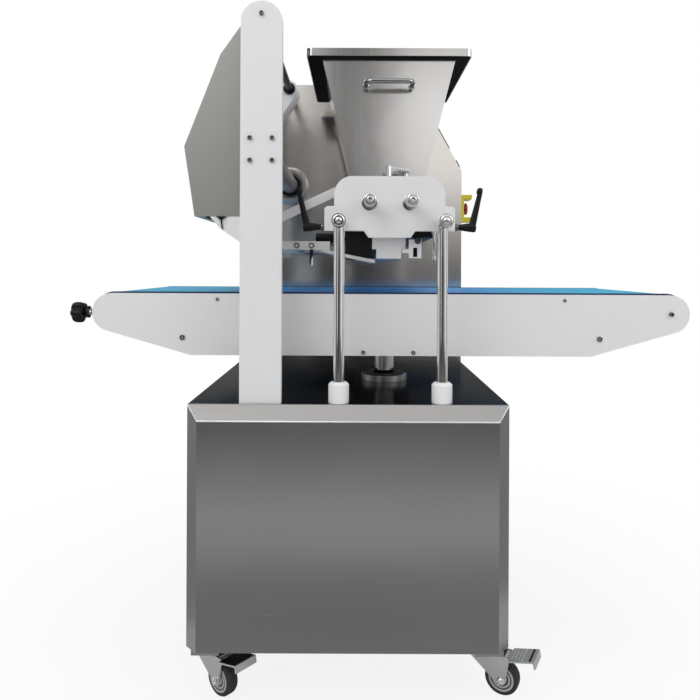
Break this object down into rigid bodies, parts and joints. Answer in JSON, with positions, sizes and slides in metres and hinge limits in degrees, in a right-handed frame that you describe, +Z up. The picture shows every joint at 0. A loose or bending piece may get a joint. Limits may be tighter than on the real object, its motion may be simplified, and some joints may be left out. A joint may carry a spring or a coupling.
{
  "type": "macaron making machine",
  "caption": "Depositing machine for macaron and cookie dough: hopper and feed rollers over a lifting belt conveyor, with wire cutter, console and drive housing on a wheeled cabinet.",
  "frame": {"origin": "on the floor, under the middle of the machine's bounding box", "axes": "+Z up, +X along the belt towards its drive roller, +Y from the operator towards the drive housing"},
  "size_m": [1.4384, 0.95, 1.516],
  "materials": {
    "stainless": "brushed",
    "dark_panel": "brushed",
    "black_top": "gloss",
    "white_plate": "white, satin",
    "white_die": "satin",
    "machined": "machined",
    "chrome": "polished",
    "zinc": "zinc plated",
    "black_plastic": "satin",
    "belt_blue": "satin",
    "seal_black": "matte",
    "stop_yellow": "gloss",
    "stop_red": "gloss",
    "screen": "gloss",
    "device": "matte",
    "drive_grey": "painted",
    "tyre": "matte"
  },
  "bodies": {
    "base": {"front_panel": "dark_panel", "side_panels": "stainless", "base_frame": "stainless", "top_plate": "black_top", "rear_cover": "stainless", "electrical_panel": "device", "lift_drive": "drive_grey", "lift_flange": "stainless", "housing_wrap": "stainless", "housing_front": "stainless", "feed_motor": "drive_grey", "cutter_actuator": "device", "front_upright": "white_plate", "upright_bolts": "stainless", "tie_bar": "black_plastic", "console_brackets": "white_plate", "cross_beam": "stainless", "console_shell": "stainless", "touch_screen": "screen", "estop_box": "stop_yellow", "support_columns": "chrome", "column_sleeves": "white_plate", "head_front_plate": "white_plate", "head_rear_plate": "machined", "feed_body": "machined", "shaft_bushes": "chrome", "die_holder": "black_plastic", "die_block": "white_die", "cutter_guides": "white_plate", "caster_mounts": "zinc"},
    "conveyor": {"conveyor_side_plates": "white_plate", "belt_bed": "machined", "conveyor_belt": "belt_blue", "conveyor_rods": "stainless", "lift_ram": "stainless"},
    "belt_drive": {"drive_roller": "machined"},
    "tail_carriage": {"tension_blocks": "machined"},
    "belt_tail": {"tail_roller": "machined"},
    "tension_front": {"tension_knob_front": "black_plastic"},
    "tension_rear": {"tension_knob_rear": "black_plastic"},
    "feed_left": {"feed_roller_left": "machined"},
    "feed_right": {"feed_roller_right": "machined"},
    "hopper": {"hopper": "stainless", "hopper_rim_seal": "seal_black"},
    "hopper_lock": {"hopper_lock": "chrome"},
    "lever_left": {"clamp_lever_left": "black_plastic"},
    "lever_right": {"clamp_lever_right": "black_plastic"},
    "estop_button": {"estop_button": "stop_red"},
    "cutter": {"cutter_frame": "stainless", "cutter_strips": "stainless"},
    "die_latch": {"die_latch": "white_die"},
    "die_clamp": {"die_clamp_knob": "black_plastic"},
    "caster_left": {"caster_fork_left": "zinc"},
    "caster_right": {"caster_fork_right": "zinc"},
    "wheel_front_left": {"caster_wheel_front_left": "tyre"},
    "wheel_front_right": {"caster_wheel_front_right": "tyre"},
    "wheel_rear_left": {"caster_wheel_rear_left": "tyre"},
    "wheel_rear_right": {"caster_wheel_rear_right": "tyre"},
    "pedal_left": {"brake_pedal_left": "zinc"},
    "pedal_right": {"brake_pedal_right": "zinc"}
  },
  "joints": [
    {"name": "conveyor_lift", "type": "slide", "parent": "base", "child": "conveyor", "axis": [0, 0, 1], "range_m": [0, 0.05]},
    {"name": "drive_roller_turn", "type": "hinge", "parent": "conveyor", "child": "belt_drive", "pos_m": [0.6745, -0.035, 0.836], "axis": [0, 1, 0], "continuous": true},
    {"name": "tail_tension", "type": "slide", "parent": "conveyor", "child": "tail_carriage", "axis": [1, 0, 0], "range_m": [0, 0.008]},
    {"name": "tail_roller_turn", "type": "hinge", "parent": "tail_carriage", "child": "belt_tail", "pos_m": [-0.6255, -0.035, 0.836], "axis": [0, 1, 0], "continuous": true},
    {"name": "tension_knob_front_turn", "type": "hinge", "parent": "conveyor", "child": "tension_front", "pos_m": [-0.6695, -0.2975, 0.836], "axis": [-1, 0, 0], "range_deg": [0, 1920]},
    {"name": "tension_knob_rear_turn", "type": "hinge", "parent": "conveyor", "child": "tension_rear", "pos_m": [-0.6695, 0.2275, 0.836], "axis": [-1, 0, 0], "range_deg": [0, 1920]},
    {"name": "feed_roller_left_turn", "type": "hinge", "parent": "base", "child": "feed_left", "pos_m": [-0.0275, -0.345, 1.088], "axis": [0, 1, 0], "continuous": true},
    {"name": "feed_roller_right_turn", "type": "hinge", "parent": "base", "child": "feed_right", "pos_m": [0.0645, -0.345, 1.088], "axis": [0, 1, 0], "continuous": true},
    {"name": "cutter_stroke", "type": "slide", "parent": "base", "child": "cutter", "axis": [1, 0, 0], "range_m": [0, 0.045]},
    {"name": "hopper_lift_off", "type": "slide", "parent": "base", "child": "hopper", "axis": [0, 0, 1], "range_m": [0, 0.3]},
    {"name": "hopper_lock_turn", "type": "hinge", "parent": "base", "child": "hopper_lock", "pos_m": [0.0155, -0.335, 1.149], "axis": [0, 0, 1], "range_deg": [-130, 15]},
    {"name": "estop_push", "type": "slide", "parent": "base", "child": "estop_button", "axis": [-1, 0, 0], "range_m": [0, 0.005], "stiffness_N_per_m": 600},
    {"name": "die_latch_turn", "type": "hinge", "parent": "base", "child": "die_latch", "pos_m": [0.0845, -0.3105, 1.004], "axis": [0, -1, 0], "range_deg": [0, 80]},
    {"name": "die_clamp_turn", "type": "hinge", "parent": "base", "child": "die_clamp", "pos_m": [-0.0825, -0.2885, 1.01], "axis": [1, 0, 0], "range_deg": [0, 360]},
    {"name": "clamp_lever_left_turn", "type": "hinge", "parent": "base", "child": "lever_left", "pos_m": [-0.1295, -0.335, 1.034], "axis": [1, 0, 0], "range_deg": [0, 90]},
    {"name": "clamp_lever_right_turn", "type": "hinge", "parent": "base", "child": "lever_right", "pos_m": [0.1665, -0.335, 1.034], "axis": [1, 0, 0], "range_deg": [0, 90]},
    {"name": "caster_left_swivel", "type": "hinge", "parent": "base", "child": "caster_left", "pos_m": [-0.3795, -0.355, 0.0823], "axis": [0, 0, 1], "continuous": true},
    {"name": "wheel_front_left_roll", "type": "hinge", "parent": "caster_left", "child": "wheel_front_left", "pos_m": [-0.34733, -0.382, 0.0375], "axis": [0.6428, 0.766, 0], "continuous": true},
    {"name": "pedal_left_press", "type": "hinge", "parent": "caster_left", "child": "pedal_left", "pos_m": [-0.33967, -0.38843, 0.0823], "axis": [0.6428, 0.766, 0], "range_deg": [0, 15]},
    {"name": "wheel_rear_left_roll", "type": "hinge", "parent": "base", "child": "wheel_rear_left", "pos_m": [-0.3795, 0.4, 0.0375], "axis": [1, 0, 0], "continuous": true},
    {"name": "caster_right_swivel", "type": "hinge", "parent": "base", "child": "caster_right", "pos_m": [0.2345, -0.355, 0.0823], "axis": [0, 0, 1], "continuous": true},
    {"name": "wheel_front_right_roll", "type": "hinge", "parent": "caster_right", "child": "wheel_front_right", "pos_m": [0.27192, -0.37407, 0.0375], "axis": [0.454, 0.891, 0], "continuous": true},
    {"name": "pedal_right_press", "type": "hinge", "parent": "caster_right", "child": "pedal_right", "pos_m": [0.28083, -0.37861, 0.0823], "axis": [0.454, 0.891, 0], "range_deg": [0, 15]},
    {"name": "wheel_rear_right_roll", "type": "hinge", "parent": "base", "child": "wheel_rear_right", "pos_m": [0.2345, 0.4, 0.0375], "axis": [1, 0, 0], "continuous": true}
  ],
  "couplings": [
    {"joint": "tail_roller_turn", "follows": "drive_roller_turn", "ratio": 1},
    {"joint": "tension_knob_front_turn", "follows": "tail_tension", "rad_per_m": 4188.4},
    {"joint": "tension_knob_rear_turn", "follows": "tail_tension", "rad_per_m": 4188.4},
    {"joint": "feed_roller_right_turn", "follows": "feed_roller_left_turn", "ratio": -1}
  ]
}
